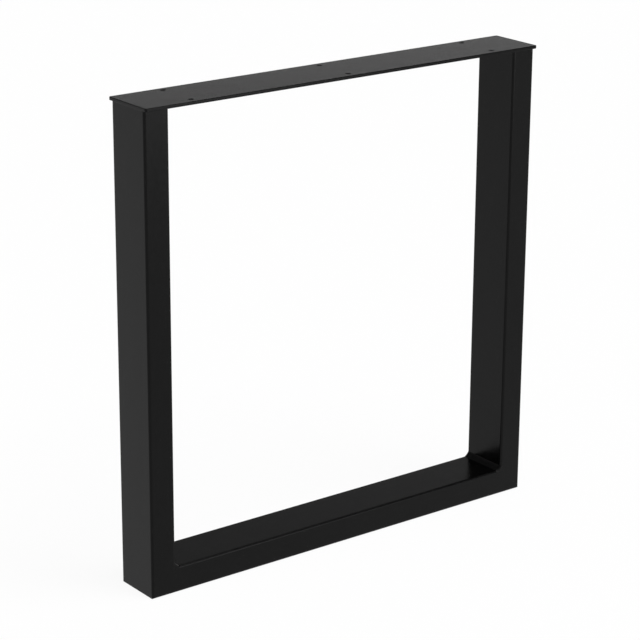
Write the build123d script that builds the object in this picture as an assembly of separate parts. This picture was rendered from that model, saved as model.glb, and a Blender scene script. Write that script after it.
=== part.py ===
from build123d import *
import os
from math import sqrt

# A welded steel leg frame for one end of a table, powder coated.
# Rectangular tube makes two legs and the rail on the floor, joined in mitres,
# and a flat plate with screw holes closes the top.
# X runs across the frame, Y from front to back and Z up.
# The origin is on the floor, under the middle of the rail.
# Every length is in millimetres.

# Overall size
FRAME_HEIGHT = 720.0          # floor to the top of the mounting plate
FRAME_WIDTH = 700.0           # over the outer faces of the legs

# Rectangular hollow section, the same stock in the legs and the rail
TUBE_DEPTH = 80.0             # long side, front to back
TUBE_FACE = 40.0              # short side, the one seen from the front
TUBE_WALL = 2.0
TUBE_INSIDE_RADIUS = 1.5      # inside of the rolled corners

# Mounting plate
PLATE_THICKNESS = 5.0
PLATE_END_OVERHANG = 1.0      # past the outer face of each leg
PLATE_SIDE_OVERHANG = 6.0     # past the front and back faces of the tube
PLATE_CORNER_RADIUS = 3.0     # upright edges at the four corners
PLATE_EDGE_RADIUS = 1.0       # softened edges of the top and bottom faces

# Screw holes: a pair at each leg and a pair in the middle
HOLE_DIAMETER = 8.0
HOLE_TO_LEG = 40.0            # from the inner face of a leg to the middle of its pair of holes
HOLE_TO_EDGE = 12.0           # from the long edge of the plate to the middle of a hole

# Welds
MITRE_BEVEL = 1.2             # weld preparation round the outside of each mitred end
MITRE_GROUND_RADIUS = 0.8     # left on the outer corner after the weld is ground flush
CORNER_WELD_LEG = 7.5         # fillet weld across the inside of each mitre, dressed smooth
CORNER_WELD_HOLLOW = 0.9      # dip of its face under the line between its toes
PLATE_WELD_LEG = 3.5          # fillet weld between each leg and the underside of the plate, left as laid
PLATE_WELD_RISE = 0.4         # rise of its face over the line between its toes
PLATE_WELD_END_RADIUS = 1.2   # rounding of its two ends

# Sizes that follow from those above
TUBE_RADIUS = TUBE_INSIDE_RADIUS + TUBE_WALL
TUBE_FLAT = TUBE_DEPTH - 2 * TUBE_RADIUS
BEVEL = min(MITRE_BEVEL, 0.8 * TUBE_WALL)
GROUND_RADIUS = min(MITRE_GROUND_RADIUS, BEVEL / sqrt(2))
HALF_WIDTH = FRAME_WIDTH / 2
INNER_X = HALF_WIDTH - TUBE_FACE
SEAT_Z = FRAME_HEIGHT - PLATE_THICKNESS
PLATE_LENGTH = FRAME_WIDTH + 2 * PLATE_END_OVERHANG
PLATE_DEPTH = TUBE_DEPTH + 2 * PLATE_SIDE_OVERHANG
HOLE_X = INNER_X - HOLE_TO_LEG
HOLE_Y = PLATE_DEPTH / 2 - HOLE_TO_EDGE

LEFT = -1
RIGHT = 1
SIDES = {"left": LEFT, "right": RIGHT}


def tube_outline(plane: Plane) -> Sketch:
    """Outside of the rolled rectangular section, with its short side along the plane's X."""
    return plane * RectangleRounded(TUBE_FACE, TUBE_DEPTH, TUBE_RADIUS)


def tube_section(plane: Plane) -> Sketch:
    """Rolled rectangular section with its hollow."""
    hollow = RectangleRounded(TUBE_FACE - 2 * TUBE_WALL, TUBE_DEPTH - 2 * TUBE_WALL, TUBE_INSIDE_RADIUS)
    return tube_outline(plane) - plane * hollow


def mitre_plane(side: int) -> Plane:
    """Plane of one mitre, from the outer bottom corner to the inner corner, facing up and out."""
    return Plane(origin=(side * HALF_WIDTH, 0, 0), x_dir=(0, 1, 0), z_dir=(side, 0, 1))


def square_leg(side: int, section=tube_section) -> Part:
    """Leg cut square at both ends, from the floor to the underside of the plate."""
    foot = Plane(origin=(side * (HALF_WIDTH - TUBE_FACE / 2), 0, 0), x_dir=(1, 0, 0), z_dir=(0, 0, 1))
    return extrude(section(foot), SEAT_Z)


def square_rail(section=tube_section) -> Part:
    """Rail cut square at both ends, as long as the frame is wide."""
    end = Plane(origin=(-HALF_WIDTH, 0, TUBE_FACE / 2), x_dir=(0, 0, -1), z_dir=(1, 0, 0))
    return extrude(section(end), FRAME_WIDTH)


def mitred_leg(side: int) -> Part:
    """Leg with its foot cut in the mitre plane, before the bevel."""
    return split(square_leg(side), bisect_by=mitre_plane(side), keep=Keep.TOP)


def mitred_rail() -> Part:
    """Rail with both ends cut in the mitre planes, before the bevels."""
    rail = square_rail()
    for side in SIDES.values():
        rail = split(rail, bisect_by=mitre_plane(side), keep=Keep.BOTTOM)
    return rail


def bevel_end(tube: Part, side: int) -> Part:
    """Bevels the outside edge of the tube's mitred end all the way round, ready for the weld."""
    normal = mitre_plane(side).z_dir
    cut_end = tube.faces().filter_by(lambda face: abs(face.normal_at().dot(normal)) > 0.999)[0]
    return chamfer(cut_end.outer_wire().edges(), BEVEL)


def leg(side: int) -> Part:
    """One leg as it is welded in, with its mitred and bevelled foot."""
    return bevel_end(mitred_leg(side), side)


def rail() -> Part:
    """The bottom rail as it is welded in, mitred and bevelled at both ends."""
    tube = mitred_rail()
    for side in SIDES.values():
        tube = bevel_end(tube, side)
    return tube


def outer_corner_trim(side: int) -> Part:
    """What the grinder takes off the sharp outer corner of a mitre."""
    corner = Plane(origin=(side * HALF_WIDTH, 0, 0), x_dir=(-side, 0, 0), z_dir=(0, side, 0))
    square = Rectangle(GROUND_RADIUS, GROUND_RADIUS, align=Align.MIN)
    kept = Pos(GROUND_RADIUS, GROUND_RADIUS) * Circle(GROUND_RADIUS)
    return extrude(corner * (square - kept), TUBE_DEPTH / 2, both=True)


def mitre_weld(side: int) -> Part:
    """Butt weld that fills both bevels round a mitre, ground flush with the tubes."""
    filled = mitred_leg(side) + mitred_rail()
    ring = filled - leg(side) - rail()
    ring = [solid for solid in ring.solids() if solid.center().X * side > 0]
    return Part() + ring - outer_corner_trim(side)


def corner_weld(side: int) -> Part:
    """Fillet weld across the inside of one mitre, dressed to a hollow face.

    It is as deep as the tubes, flush with their fronts and backs, and rounded over there as they are,
    so it also fills the wedge between their rounded edges.
    """
    corner = Plane(origin=(side * INNER_X, 0, TUBE_FACE), x_dir=(-side, 0, 0), z_dir=(0, side, 0))
    rail_toe, leg_toe = (CORNER_WELD_LEG, 0), (0, CORNER_WELD_LEG)
    face = SagittaArc(rail_toe, leg_toe, CORNER_WELD_HOLLOW)
    behind = Polyline(leg_toe, (-TUBE_RADIUS, CORNER_WELD_LEG), (-TUBE_RADIUS, -TUBE_RADIUS),
                      (CORNER_WELD_LEG, -TUBE_RADIUS), rail_toe)
    bar = extrude(corner * make_face(face + behind), TUBE_DEPTH / 2, both=True)
    bar = fillet(bar.edges().filter_by(GeomType.CIRCLE), TUBE_RADIUS)
    return bar - square_leg(side, tube_outline) - square_rail(tube_outline)


def plate_weld(side: int) -> Part:
    """Fillet weld between the inner face of one leg and the underside of the plate.

    Its face is a little raised, and its ends are rounded where it stops at the tube's rolled corners.
    """
    corner = Plane(origin=(side * INNER_X, 0, SEAT_Z), x_dir=(-side, 0, 0), z_dir=(0, -side, 0))
    plate_toe, leg_toe = (PLATE_WELD_LEG, 0), (0, PLATE_WELD_LEG)
    face = SagittaArc(plate_toe, leg_toe, -PLATE_WELD_RISE)
    outline = Line((0, 0), plate_toe) + face + Line(leg_toe, (0, 0))
    bar = extrude(corner * make_face(outline), TUBE_FLAT / 2, both=True)
    return fillet(bar.edges().filter_by(GeomType.CIRCLE), min(PLATE_WELD_END_RADIUS, 0.4 * PLATE_WELD_LEG))


def top_plate() -> Part:
    """Mounting plate with its softened edges and three pairs of plain screw holes."""
    middle = Plane(origin=(0, 0, SEAT_Z + PLATE_THICKNESS / 2), z_dir=(0, 0, 1))
    plate = middle * Box(PLATE_LENGTH, PLATE_DEPTH, PLATE_THICKNESS)
    plate = fillet(plate.edges().filter_by(Axis.Z), PLATE_CORNER_RADIUS)
    faces = plate.faces().sort_by(Axis.Z)
    rims = faces[0].edges() + faces[-1].edges()
    plate = fillet(rims, min(PLATE_EDGE_RADIUS, 0.4 * PLATE_THICKNESS, 0.8 * PLATE_CORNER_RADIUS))
    drill = Cylinder(HOLE_DIAMETER / 2, 2 * PLATE_THICKNESS)
    for x in (-HOLE_X, 0, HOLE_X):
        for y in (-HOLE_Y, HOLE_Y):
            plate -= middle * Pos(x, y) * drill
    return plate


def pieces() -> dict[str, Part]:
    """Every piece of the frame by the name of its node."""
    made = {"top_plate": top_plate(), "bottom_rail": rail()}
    for name, side in SIDES.items():
        made[f"{name}_leg"] = leg(side)
        made[f"{name}_corner_weld"] = corner_weld(side)
        made[f"{name}_mitre_weld"] = mitre_weld(side)
        made[f"{name}_plate_weld"] = plate_weld(side)
    return made


os.makedirs("parts", exist_ok=True)
for node, piece in pieces().items():
    export_step(piece, f"parts/{node}.step")
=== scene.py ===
import logging
import math
from dataclasses import dataclass, field
from enum import Enum

import bmesh
import bpy
from mathutils import Matrix, Vector


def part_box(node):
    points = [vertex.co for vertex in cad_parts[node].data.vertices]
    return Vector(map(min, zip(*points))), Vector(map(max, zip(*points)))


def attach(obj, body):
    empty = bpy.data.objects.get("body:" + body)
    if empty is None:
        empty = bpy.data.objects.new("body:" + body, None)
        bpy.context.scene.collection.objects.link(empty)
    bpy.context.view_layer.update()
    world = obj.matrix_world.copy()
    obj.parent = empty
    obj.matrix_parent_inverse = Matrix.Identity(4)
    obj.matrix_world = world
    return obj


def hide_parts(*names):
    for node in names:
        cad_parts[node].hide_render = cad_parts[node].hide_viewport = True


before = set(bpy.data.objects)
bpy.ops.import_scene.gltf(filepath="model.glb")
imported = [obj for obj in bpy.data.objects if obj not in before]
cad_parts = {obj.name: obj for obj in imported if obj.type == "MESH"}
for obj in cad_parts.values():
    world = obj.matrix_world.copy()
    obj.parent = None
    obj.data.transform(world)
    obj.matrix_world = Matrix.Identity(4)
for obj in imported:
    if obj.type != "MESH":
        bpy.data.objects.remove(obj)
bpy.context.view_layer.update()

# Looks of a welded table leg frame in black powder coat.
# Every length is in metres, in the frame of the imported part.
# X runs across the frame, Y from front to back and Z up from the floor.

BODY = "root"
LOG = logging.getLogger("table_frame")


class Side(Enum):
    """The two ends of the frame, by the sign of their X."""

    LEFT = -1
    RIGHT = 1

    @property
    def word(self) -> str:
        """Word that starts the names of this side's pieces."""
        return self.name.lower()


class Slot(Enum):
    """A material slot name of the record, which nothing in this script uses."""

    COATED_WELD = "coated_weld"


class NodeChain:
    """A node tree, with short calls that add a node and link it.

    Attributes:
        NOISE_SPAN: Where the middle of a noise pattern starts and ends.
        tree: The tree itself.
    """

    NOISE_SPAN = (0.3, 0.7)

    def __init__(self, owner: bpy.types.Material | bpy.types.World) -> None:
        """Starts from an empty tree.

        Args:
            owner: The material or world whose nodes are replaced.
        """
        owner.use_nodes = True
        self.tree = owner.node_tree
        self.tree.nodes.clear()

    def add(self, kind: str, **settings: object) -> bpy.types.Node:
        """Adds one node.

        Args:
            kind: Blender's name for the node's type.
            **settings: Attributes to set on it.

        Returns:
            The new node.
        """
        node = self.tree.nodes.new(kind)
        for name, value in settings.items():
            setattr(node, name, value)
        return node

    def link(self, source: bpy.types.NodeSocket, target: bpy.types.NodeSocket) -> None:
        """Joins an output to an input."""
        self.tree.links.new(source, target)

    def object_point(self) -> bpy.types.NodeSocket:
        """Gives the socket with the point in the object's own coordinates."""
        return self.add("ShaderNodeTexCoord").outputs["Object"]

    def noise(self, point: bpy.types.NodeSocket, size: float, detail: float = 2.0) -> bpy.types.NodeSocket:
        """Adds a noise pattern.

        Args:
            point: Coordinates that it reads.
            size: Length of one feature, in metres.
            detail: How many finer octaves it has.

        Returns:
            The pattern's value, from 0 to 1.
        """
        node = self.add("ShaderNodeTexNoise")
        node.inputs["Scale"].default_value = 1.0 / size
        node.inputs["Detail"].default_value = detail
        self.link(point, node.inputs["Vector"])
        return node.outputs["Fac"]

    def math(self, operation: str, *values: bpy.types.NodeSocket | float) -> bpy.types.NodeSocket:
        """Adds one sum.

        Args:
            operation: Blender's name for the sum.
            *values: Its values, each a socket or a number.

        Returns:
            The result.
        """
        node = self.add("ShaderNodeMath", operation=operation)
        for place, value in zip(node.inputs, values):
            if isinstance(value, bpy.types.NodeSocket):
                self.link(value, place)
            else:
                place.default_value = value
        return node.outputs[0]

    def stretch(self, value: bpy.types.NodeSocket, span: tuple[float, float],
                results: tuple[float, float]) -> bpy.types.NodeSocket:
        """Turns one span of a value into another, evenly, and holds it beyond both ends.

        Args:
            value: The value.
            span: Where it starts and ends.
            results: The results at those two places.

        Returns:
            The new value.
        """
        node = self.add("ShaderNodeMapRange", interpolation_type="LINEAR")
        node.inputs["From Min"].default_value, node.inputs["From Max"].default_value = span
        node.inputs["To Min"].default_value, node.inputs["To Max"].default_value = results
        self.link(value, node.inputs["Value"])
        return node.outputs["Result"]

    def ramp(self, value: bpy.types.NodeSocket, low: float, high: float) -> bpy.types.NodeSocket:
        """Spreads the middle of a noise pattern over a range.

        Args:
            value: The pattern.
            low: Result where the pattern is low.
            high: Result where it is high.

        Returns:
            The spread value.
        """
        node = self.add("ShaderNodeMapRange", interpolation_type="SMOOTHSTEP")
        node.inputs["From Min"].default_value, node.inputs["From Max"].default_value = self.NOISE_SPAN
        node.inputs["To Min"].default_value, node.inputs["To Max"].default_value = low, high
        self.link(value, node.inputs["Value"])
        return node.outputs["Result"]

    def bump(self, height: bpy.types.NodeSocket, depth: float,
             below: bpy.types.NodeSocket | None = None) -> bpy.types.NodeSocket:
        """Adds a bump.

        Args:
            height: Pattern from 0 to 1.
            depth: Height of the relief, in metres.
            below: Normal of the coarser relief that this one lies on.

        Returns:
            The bumped normal.
        """
        node = self.add("ShaderNodeBump")
        node.inputs["Strength"].default_value = 1.0
        node.inputs["Distance"].default_value = depth
        self.link(height, node.inputs["Height"])
        if below is not None:
            self.link(below, node.inputs["Normal"])
        return node.outputs["Normal"]


@dataclass(frozen=True)
class PowderCoat:
    """Satin black powder coat: nearly smooth, with fine orange peel and faint long waves.

    Attributes:
        name: Name of the material.
        deep: Colour of the thick coat.
        thin: Colour where the coat is a little thinner.
        gloss_low: Roughness of the glossier patches.
        gloss_high: Roughness of the duller patches.
        ior: Index of refraction.
        specular: Specular level, on the shader's own socket.
        patch_size: Length of the glossier and duller patches.
        patch_detail: Finer octaves of the patches.
        cloud_detail: Finer octaves of the colour's clouds, which are as long as the waves.
        peel_size: Length of one dimple of the orange peel.
        peel_depth: Depth of the dimples.
        wave_size: Length of the long waves that the coat flows out to.
        wave_depth: Depth of the long waves.
        grain_size: Size of the powder's fine grain.
        grain_depth: Relief of the fine grain.
    """

    name: str = "satin_black_powder_coat"
    deep: tuple[float, float, float] = (0.0009, 0.0009, 0.0009)
    thin: tuple[float, float, float] = (0.0014, 0.0014, 0.0014)
    gloss_low: float = 0.21
    gloss_high: float = 0.27
    ior: float = 1.5
    specular: float = 0.12
    patch_size: float = 0.008
    patch_detail: float = 4.0
    cloud_detail: float = 3.0
    peel_size: float = 0.0016
    peel_depth: float = 0.000012
    wave_size: float = 0.035
    wave_depth: float = 0.00006
    grain_size: float = 0.0003
    grain_depth: float = 0.000002

    def material(self) -> bpy.types.Material:
        """Builds the finish.

        Returns:
            The new material.
        """
        made = bpy.data.materials.new(self.name)
        chain = NodeChain(made)
        point = chain.object_point()
        shader = chain.add("ShaderNodeBsdfPrincipled")
        shader.inputs["Metallic"].default_value = 0.0
        shader.inputs["IOR"].default_value = self.ior
        shader.inputs["Specular IOR Level"].default_value = self.specular
        cloud = chain.noise(point, self.wave_size, self.cloud_detail)
        colour = chain.add("ShaderNodeMix", data_type="RGBA")
        colour.inputs["A"].default_value = (*self.deep, 1.0)
        colour.inputs["B"].default_value = (*self.thin, 1.0)
        chain.link(chain.ramp(cloud, 0.0, 1.0), colour.inputs["Factor"])
        chain.link(colour.outputs["Result"], shader.inputs["Base Color"])
        patches = chain.noise(point, self.patch_size, self.patch_detail)
        chain.link(chain.ramp(patches, self.gloss_low, self.gloss_high), shader.inputs["Roughness"])
        relief = chain.bump(chain.noise(point, self.wave_size, detail=0.0), self.wave_depth)
        relief = chain.bump(chain.noise(point, self.peel_size, detail=1.0), self.peel_depth, relief)
        relief = self.finer(chain, point, relief)
        chain.link(relief, shader.inputs["Normal"])
        chain.link(shader.outputs["BSDF"], chain.add("ShaderNodeOutputMaterial").inputs["Surface"])
        return made

    def finer(self, chain: NodeChain, point: bpy.types.NodeSocket,
              relief: bpy.types.NodeSocket) -> bpy.types.NodeSocket:
        """Adds the powder's fine grain on the orange peel.

        Args:
            chain: The material's nodes.
            point: Object coordinates.
            relief: Normal of the coarser relief.

        Returns:
            The finished normal.
        """
        return chain.bump(chain.noise(point, self.grain_size, detail=1.0), self.grain_depth, relief)


@dataclass(frozen=True)
class WeldCoat(PowderCoat):
    """The same coat over a weld, whose low ripples show through it.

    Attributes:
        ripple: Distance from one ripple to the next.
        ripple_depth: Height of the ripples.
        wander: Length over which the ripples stray from straight.
        stray: How far they stray, in ripples.
    """

    name: str = "satin_black_powder_coat_on_weld"
    gloss_low: float = 0.34
    gloss_high: float = 0.42
    ripple: float = 0.0027
    ripple_depth: float = 0.00002
    wander: float = 0.007
    stray: float = 2.0

    def finer(self, chain: NodeChain, point: bpy.types.NodeSocket,
              relief: bpy.types.NodeSocket) -> bpy.types.NodeSocket:
        """Adds ripples across the weld, which runs from front to back, and the powder's grain.

        Args:
            chain: The material's nodes.
            point: Object coordinates.
            relief: Normal of the coarser relief.

        Returns:
            The finished normal.
        """
        split = chain.add("ShaderNodeSeparateXYZ")
        chain.link(point, split.inputs["Vector"])
        along = chain.math("DIVIDE", split.outputs["Y"], self.ripple)
        astray = chain.math("MULTIPLY", chain.noise(point, self.wander), self.stray)
        strayed = chain.math("ADD", along, astray)
        wave = chain.math("SINE", chain.math("MULTIPLY", strayed, 2.0 * math.pi))
        height = chain.stretch(wave, (-1.0, 1.0), (0.0, 1.0))
        return super().finer(chain, point, chain.bump(height, self.ripple_depth, relief))


@dataclass
class CoatedParts:
    """The flat plate, the tubes and the dressed welds, which keep their CAD shapes.

    Attributes:
        nodes: Names of the nodes that take the coat.
        welds: Names of the nodes that take the coat over a weld.
        coat: The coat.
        weld_coat: The coat over a weld.
    """

    nodes: tuple[str, ...] = ("top_plate", "left_leg", "right_leg", "bottom_rail",
                              "left_mitre_weld", "right_mitre_weld")
    welds: tuple[str, ...] = ("left_corner_weld", "right_corner_weld")
    coat: PowderCoat = field(default_factory=PowderCoat)
    weld_coat: WeldCoat = field(default_factory=WeldCoat)

    def dress(self) -> bpy.types.Material:
        """Puts the finishes on the nodes.

        Returns:
            The coat, for the pieces that are modelled anew.
        """
        coat, weld_coat = self.coat.material(), self.weld_coat.material()
        for name in self.nodes + self.welds:
            finish = weld_coat if name in self.welds else coat
            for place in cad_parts[name].material_slots:
                place.material = finish
            LOG.info("%s takes %s", name, finish.name)
        return coat


@dataclass
class PlateBead:
    """One fillet weld between a leg and the plate, left as laid, with its ripples.

    Attributes:
        side: The end of the frame that it is at.
        node: Name of the CAD node that it stands for.
        face_radius: Radius of its raised face.
        face_segments: Sides of the full round that its face is a part of.
        rings: Cuts along its length.
        ripple: Distance from one ripple to the next.
        ripple_depth: Depth of the hollows between ripples.
        lag: How far a ripple's edges trail behind its middle.
        end_round: Length over which each end tapers.
        end_drop: How far the face drops at each end.
        sharp_angle: Angle over which an edge is drawn sharp, in degrees.
        merge: Distance within which a cut takes a vertex as lying on it.
    """

    side: Side
    node: str
    face_radius: float = 0.00786
    face_segments: int = 96
    rings: int = 199
    ripple: float = 0.0023
    ripple_depth: float = 0.0002
    lag: float = 0.0011
    end_round: float = 0.0016
    end_drop: float = 0.0009
    sharp_angle: float = 40.0
    merge: float = 1e-7

    def build(self, finish: bpy.types.Material) -> bpy.types.Object:
        """Models the bead in its node's box, puts its finish on and lets it ride.

        Args:
            finish: Its material.

        Returns:
            The bead.
        """
        low, high = (Vector(corner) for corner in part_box(self.node))
        inward = -self.side.value
        corner = Vector((low.x if inward > 0 else high.x, (low.y + high.y) / 2.0, high.z))
        out = Vector((inward, 0.0, -1.0)).normalized()
        half_chord = (high.x - low.x) / math.sqrt(2.0)
        core = corner + out * (half_chord - math.sqrt(self.face_radius ** 2 - half_chord ** 2))
        made = self.bar(core, high.y - low.y)
        self.shape(made, core, out, half_chord)
        for normal in (Vector((-inward, 0.0, 0.0)), Vector((0.0, 0.0, 1.0))):
            self.cut(made, corner, normal)
        bmesh.ops.recalc_face_normals(made, faces=made.faces[:])
        mesh = bpy.data.meshes.new(f"{self.side.word}_plate_bead")
        made.to_mesh(mesh)
        made.free()
        mesh.shade_smooth()
        mesh.set_sharp_from_angle(angle=math.radians(self.sharp_angle))
        mesh.materials.append(finish)
        bead = bpy.data.objects.new(mesh.name, mesh)
        bpy.context.scene.collection.objects.link(bead)
        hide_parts(self.node)
        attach(bead, BODY)
        return bead

    def bar(self, core: Vector, length: float) -> bmesh.types.BMesh:
        """Makes the full round bar that the bead is cut from.

        Args:
            core: Middle of the bar.
            length: Length of the bar.

        Returns:
            The bar, ringed along its length.
        """
        made = bmesh.new()
        bmesh.ops.create_circle(made, cap_ends=True, radius=self.face_radius, segments=self.face_segments)
        bmesh.ops.rotate(made, verts=made.verts[:], cent=(0.0, 0.0, 0.0),
                         matrix=Matrix.Rotation(math.pi / 2.0, 3, "X"))
        bmesh.ops.translate(made, verts=made.verts[:], vec=core - Vector((0.0, length / 2.0, 0.0)))
        grown = bmesh.ops.extrude_face_region(made, geom=made.faces[:], use_keep_orig=True)["geom"]
        far = [part for part in grown if isinstance(part, bmesh.types.BMVert)]
        bmesh.ops.translate(made, verts=far, vec=(0.0, length, 0.0))
        runs = [edge for edge in made.edges if edge.calc_length() > length / 2.0]
        bmesh.ops.subdivide_edges(made, edges=runs, cuts=self.rings)
        return made

    def shape(self, made: bmesh.types.BMesh, core: Vector, out: Vector, half_chord: float) -> None:
        """Sinks the hollows between the ripples and rounds both ends, never over the CAD face.

        Args:
            made: The bar.
            core: Middle of the bar.
            out: Direction from the corner to the middle of the bead's face.
            half_chord: Half the width of the face.
        """
        across = Vector((-out.z, 0.0, out.x))
        half_length = max(vert.co.y for vert in made.verts) - core.y
        for vert in made.verts:
            spoke = vert.co - core
            along, spoke.y = spoke.y, 0.0
            trail = self.lag * min(1.0, (spoke.dot(across) / half_chord) ** 2)
            wave = 0.5 - 0.5 * math.cos(2.0 * math.pi * (along - trail) / self.ripple)
            end = max(0.0, (abs(along) - half_length) / self.end_round + 1.0)
            drop = self.ripple_depth * wave + self.end_drop * (1.0 - math.sqrt(max(0.0, 1.0 - end * end)))
            vert.co -= spoke.normalized() * drop

    def cut(self, made: bmesh.types.BMesh, place: Vector, normal: Vector) -> None:
        """Cuts off what lies beyond a plane and closes the cut.

        Args:
            made: The bar.
            place: A point of the plane.
            normal: Direction of the side that goes.
        """
        parts = made.verts[:] + made.edges[:] + made.faces[:]
        bmesh.ops.bisect_plane(made, geom=parts, plane_co=place, plane_no=normal, dist=self.merge,
                               clear_outer=True)
        bmesh.ops.holes_fill(made, edges=[edge for edge in made.edges if edge.is_boundary], sides=0)


@dataclass
class Studio:
    """White floor that curves up far away, pale surroundings, soft lamps and the camera.

    Attributes:
        floor_radius: Radius of the flat floor.
        floor_segments: Sides of its outline.
        floor_drop: How far the floor lies under the part, so that the two don't share a plane.
        rim: The curve at the floor's edge, each step as its distance outwards and its height.
        floor_colour: The floor's own white.
        floor_white: Share of the floor that shows as plain white; the rest shows light and shadow.
        gloss_white: The same share of it in gloss and through glass.
        horizon: Brightness of the surroundings at floor level.
        ceiling: Brightness of the surroundings higher up.
        ceiling_from: Sine of the elevation where the surroundings reach that brightness.
        key_from: Direction that the key light shines from.
        key_angle: Angle across it, in radians.
        key_strength: Light that it throws on a surface that faces it.
        box_at: Middle of the softbox, which stands upright and faces the frame.
        box_size: Its width and height.
        box_power: Its power in watts.
        camera_at: Place of the camera.
        azimuth: Turn of the camera from straight in front, in degrees.
        elevation: Angle of the camera above level, in degrees.
        roll: Lean of the picture, in degrees.
        focal_px: Focal length in pixels of the picture.
        picture_px: Width of the picture in pixels.
        sensor_mm: Width of the camera's sensor.
        clip: Nearest and farthest distance that the camera sees.
    """

    floor_radius: float = 16.0
    floor_segments: int = 96
    floor_drop: float = 0.0004
    rim: tuple[tuple[float, float], ...] = ((0.8, 0.2), (1.4, 0.7), (1.8, 1.6), (1.9, 3.4))
    floor_colour: float = 0.95
    floor_white: float = 0.92
    gloss_white: float = 0.9
    horizon: float = 0.425
    ceiling: float = 0.21
    ceiling_from: float = 0.45
    key_from: tuple[float, float, float] = (0.2, -0.54, 1.2)
    key_angle: float = 0.7
    key_strength: float = 2.5
    box_at: tuple[float, float, float] = (1.35, -3.0, 0.65)
    box_size: tuple[float, float] = (1.3, 1.2)
    box_power: float = 20.0
    camera_at: tuple[float, float, float] = (-2.0183, -2.6099, 1.4482)
    azimuth: float = -37.42
    elevation: float = 18.54
    roll: float = 0.356
    focal_px: float = 2347.4
    picture_px: int = 640
    sensor_mm: float = 36.0
    clip: tuple[float, float] = (0.05, 100.0)

    def build(self) -> None:
        """Makes the floor, the surroundings, the lamps and the camera."""
        self.floor()
        self.surroundings()
        self.key()
        self.softbox()
        self.camera()

    def floor(self) -> bpy.types.Object:
        """Makes the round white floor with its raised rim.

        Returns:
            The floor.
        """
        made = bmesh.new()
        bmesh.ops.create_circle(made, cap_ends=True, radius=self.floor_radius, segments=self.floor_segments)
        reach, height = self.floor_radius, 0.0
        for outwards, up in self.rim:
            border = [edge for edge in made.edges if edge.is_boundary]
            grown = bmesh.ops.extrude_edge_only(made, edges=border)["geom"]
            ring = [part for part in grown if isinstance(part, bmesh.types.BMVert)]
            wider = (self.floor_radius + outwards) / reach
            bmesh.ops.scale(made, verts=ring, vec=(wider, wider, 1.0))
            bmesh.ops.translate(made, verts=ring, vec=(0.0, 0.0, up - height))
            reach, height = self.floor_radius + outwards, up
        bmesh.ops.translate(made, verts=made.verts[:], vec=(0.0, 0.0, -self.floor_drop))
        mesh = bpy.data.meshes.new("studio_floor")
        made.to_mesh(mesh)
        made.free()
        floor = bpy.data.objects.new("studio_floor", mesh)
        bpy.context.scene.collection.objects.link(floor)
        mesh.materials.append(self.floor_material())
        return floor

    def floor_material(self) -> bpy.types.Material:
        """Makes the floor's white, which keeps the shadow of the frame.

        Returns:
            The material.
        """
        made = bpy.data.materials.new("studio_white")
        chain = NodeChain(made)
        matt = chain.add("ShaderNodeBsdfDiffuse")
        matt.inputs["Color"].default_value = (self.floor_colour, self.floor_colour, self.floor_colour, 1.0)
        path = chain.add("ShaderNodeLightPath")
        in_gloss = chain.math("MAXIMUM", path.outputs["Is Glossy Ray"], path.outputs["Is Transmission Ray"])
        glow = chain.add("ShaderNodeEmission")
        glow.inputs["Color"].default_value = (1.0, 1.0, 1.0, 1.0)
        glow.inputs["Strength"].default_value = 1.0
        straight = chain.math("MULTIPLY", path.outputs["Is Camera Ray"], self.floor_white)
        share = chain.math("MAXIMUM", straight, chain.math("MULTIPLY", in_gloss, self.gloss_white))
        both = chain.add("ShaderNodeMixShader")
        chain.link(share, both.inputs["Fac"])
        chain.link(matt.outputs["BSDF"], both.inputs[1])
        chain.link(glow.outputs["Emission"], both.inputs[2])
        chain.link(both.outputs["Shader"], chain.add("ShaderNodeOutputMaterial").inputs["Surface"])
        return made

    def surroundings(self) -> None:
        """Makes the plain pale surroundings, a little darker higher up."""
        world = bpy.data.worlds.new("studio")
        bpy.context.scene.world = world
        chain = NodeChain(world)
        split = chain.add("ShaderNodeSeparateXYZ")
        chain.link(chain.add("ShaderNodeTexCoord").outputs["Generated"], split.inputs["Vector"])
        background = chain.add("ShaderNodeBackground")
        background.inputs["Color"].default_value = (1.0, 1.0, 1.0, 1.0)
        chain.link(chain.stretch(split.outputs["Z"], (0.0, self.ceiling_from), (self.horizon, self.ceiling)),
                   background.inputs["Strength"])
        chain.link(background.outputs["Background"], chain.add("ShaderNodeOutputWorld").inputs["Surface"])

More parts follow.
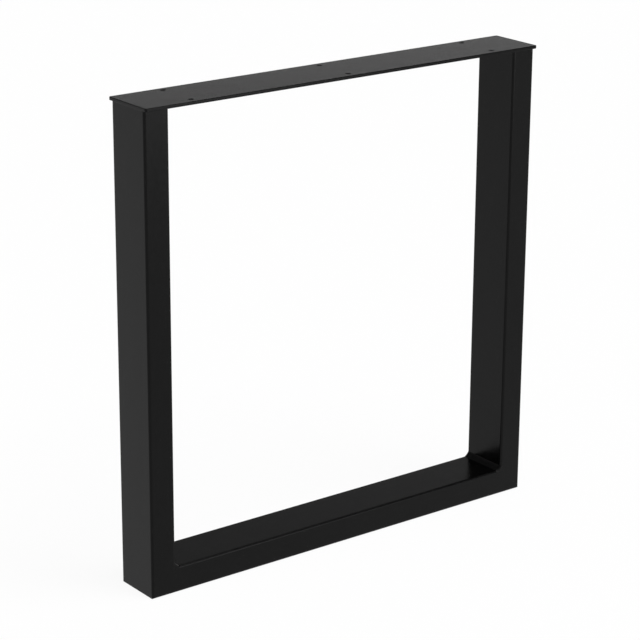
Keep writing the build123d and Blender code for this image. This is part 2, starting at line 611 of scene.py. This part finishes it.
    def key(self) -> bpy.types.Object:
        """Hangs the soft key light overhead.

        Returns:
            The light.
        """
        data = bpy.data.lights.new("key", "SUN")
        data.energy, data.angle = self.key_strength, self.key_angle
        lamp = bpy.data.objects.new("key", data)
        bpy.context.scene.collection.objects.link(lamp)
        lamp.matrix_world = Vector(self.key_from).to_track_quat("Z", "Y").to_matrix().to_4x4()
        return lamp

    def softbox(self) -> bpy.types.Object:
        """Stands the softbox in front, which draws a line of light along the rail's rounded edge.

        Returns:
            The lamp.
        """
        data = bpy.data.lights.new("softbox", "AREA")
        data.shape = "RECTANGLE"
        data.size, data.size_y = self.box_size
        data.energy = self.box_power
        lamp = bpy.data.objects.new("softbox", data)
        bpy.context.scene.collection.objects.link(lamp)
        lamp.visible_camera = False
        away = Vector((self.box_at[0], self.box_at[1], 0.0))
        turn = away.to_track_quat("Z", "Y").to_matrix().to_4x4()
        lamp.matrix_world = Matrix.Translation(self.box_at) @ turn
        return lamp

    def camera(self) -> bpy.types.Object:
        """Sets up the camera at the photograph's angle.

        Returns:
            The camera.
        """
        data = bpy.data.cameras.new("camera")
        data.sensor_width = self.sensor_mm
        data.lens = self.focal_px * data.sensor_width / self.picture_px
        data.clip_start, data.clip_end = self.clip
        camera = bpy.data.objects.new("camera", data)
        bpy.context.scene.collection.objects.link(camera)
        turn = Matrix.Rotation(math.radians(self.azimuth), 4, "Z")
        tilt = Matrix.Rotation(math.radians(90.0 - self.elevation), 4, "X")
        lean = Matrix.Rotation(math.radians(self.roll), 4, "Z")
        camera.matrix_world = Matrix.Translation(self.camera_at) @ turn @ tilt @ lean
        bpy.context.scene.camera = camera
        return camera


def main() -> None:
    """Builds the looks piece by piece and reports each one."""
    logging.basicConfig(level=logging.INFO, format="%(name)s: %(message)s")
    bpy.context.scene.view_settings.view_transform = "Standard"
    Studio().build()
    LOG.info("the studio is set up")
    coat = CoatedParts().dress()
    for side in Side:
        bead = PlateBead(side, f"{side.word}_plate_weld").build(coat)
        LOG.info("%s has %d faces", bead.name, len(bead.data.polygons))


if __name__ == "__main__":
    main()
